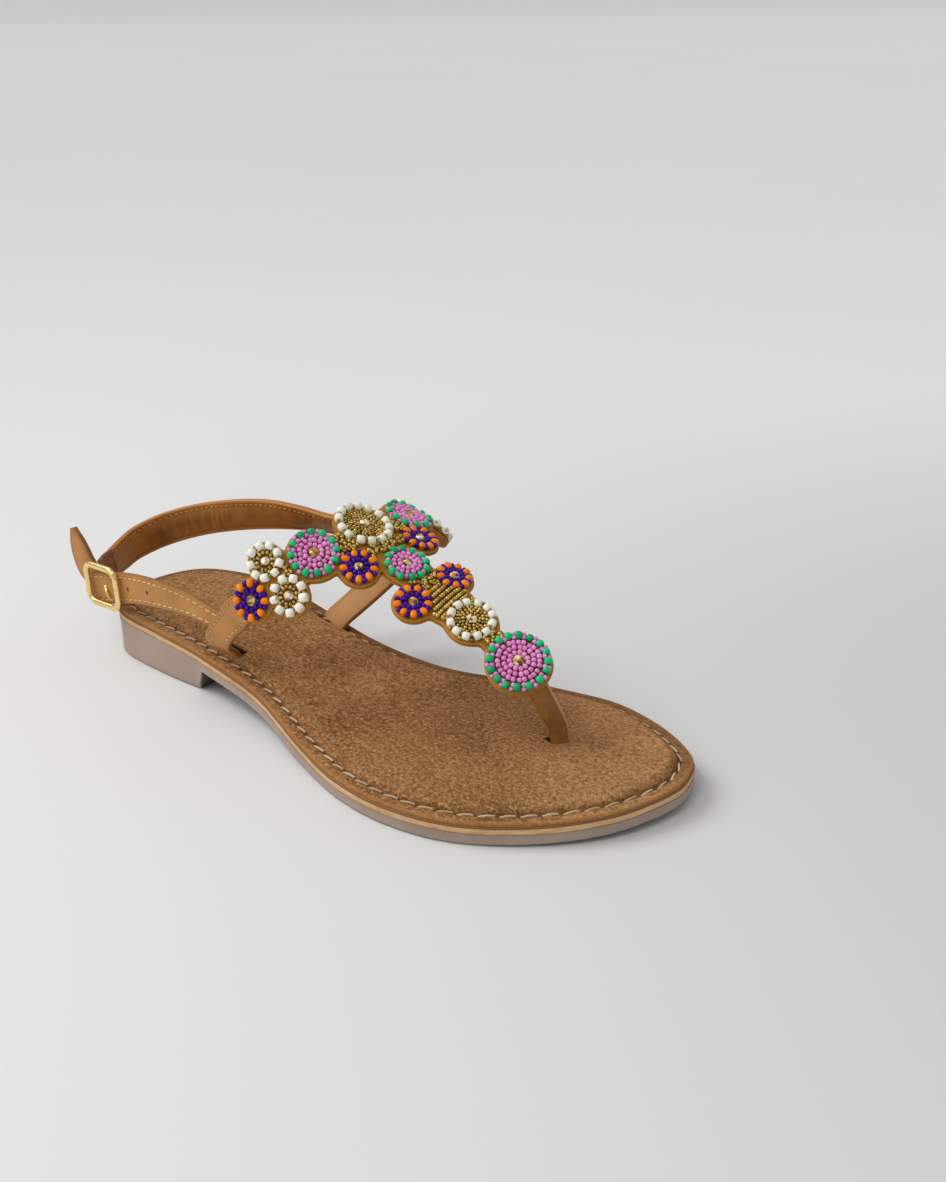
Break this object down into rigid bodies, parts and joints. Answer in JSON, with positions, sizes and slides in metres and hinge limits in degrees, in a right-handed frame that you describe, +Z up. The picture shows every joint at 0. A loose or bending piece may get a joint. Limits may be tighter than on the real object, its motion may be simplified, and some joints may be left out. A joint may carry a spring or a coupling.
{
  "type": "sandal",
  "caption": "Flat T-strap thong sandal for the right foot: rubber sole with a low block heel, padded suede insole, beaded leather T, toe post and buckled heel strap.",
  "frame": {"origin": "on the floor under the middle of the heel", "axes": "+X from the heel to the toe, +Y to the inner side of the foot, +Z up"},
  "size_m": [0.2482, 0.0982, 0.0716],
  "materials": {
    "rubber": "matt taupe rubber",
    "midsole_leather": "pale cut leather edge",
    "suede": "brown suede",
    "strap_leather": "smooth tan leather",
    "base_leather": "mustard leather with a cut edge",
    "elastic_web": "ribbed dark brown elastic",
    "gold_metal": "polished light gold",
    "pink_green_beads": "pink seed beads inside a green ring",
    "orange_purple_beads": "purple seed beads inside an orange ring",
    "white_gold_beads": "gold seed beads inside a white ring",
    "gold_beads": "antique gold seed beads"
  },
  "bodies": {
    "root": {"outsole": "rubber", "midsole": "midsole_leather", "insole": "suede", "upper": "base_leather", "back_strap": "strap_leather", "buckle_strap": "strap_leather", "elastic": "elastic_web", "buckle_frame": "gold_metal", "buckle_prong": "gold_metal", "bead_rows": "gold_beads", "medallion_toe": "pink_green_beads", "medallion_centre": "pink_green_beads", "medallion_shoulder_lateral": "pink_green_beads", "medallion_shoulder_medial": "pink_green_beads", "medallion_throat_lateral": "orange_purple_beads", "medallion_throat_medial": "orange_purple_beads", "medallion_inner_lateral": "orange_purple_beads", "medallion_inner_medial": "orange_purple_beads", "medallion_end_lateral": "orange_purple_beads", "medallion_end_medial": "orange_purple_beads", "medallion_shaft": "white_gold_beads", "medallion_top": "white_gold_beads", "medallion_front_lateral": "white_gold_beads", "medallion_front_medial": "white_gold_beads", "medallion_back_lateral": "white_gold_beads", "medallion_back_medial": "white_gold_beads"}
  },
  "joints": []
}
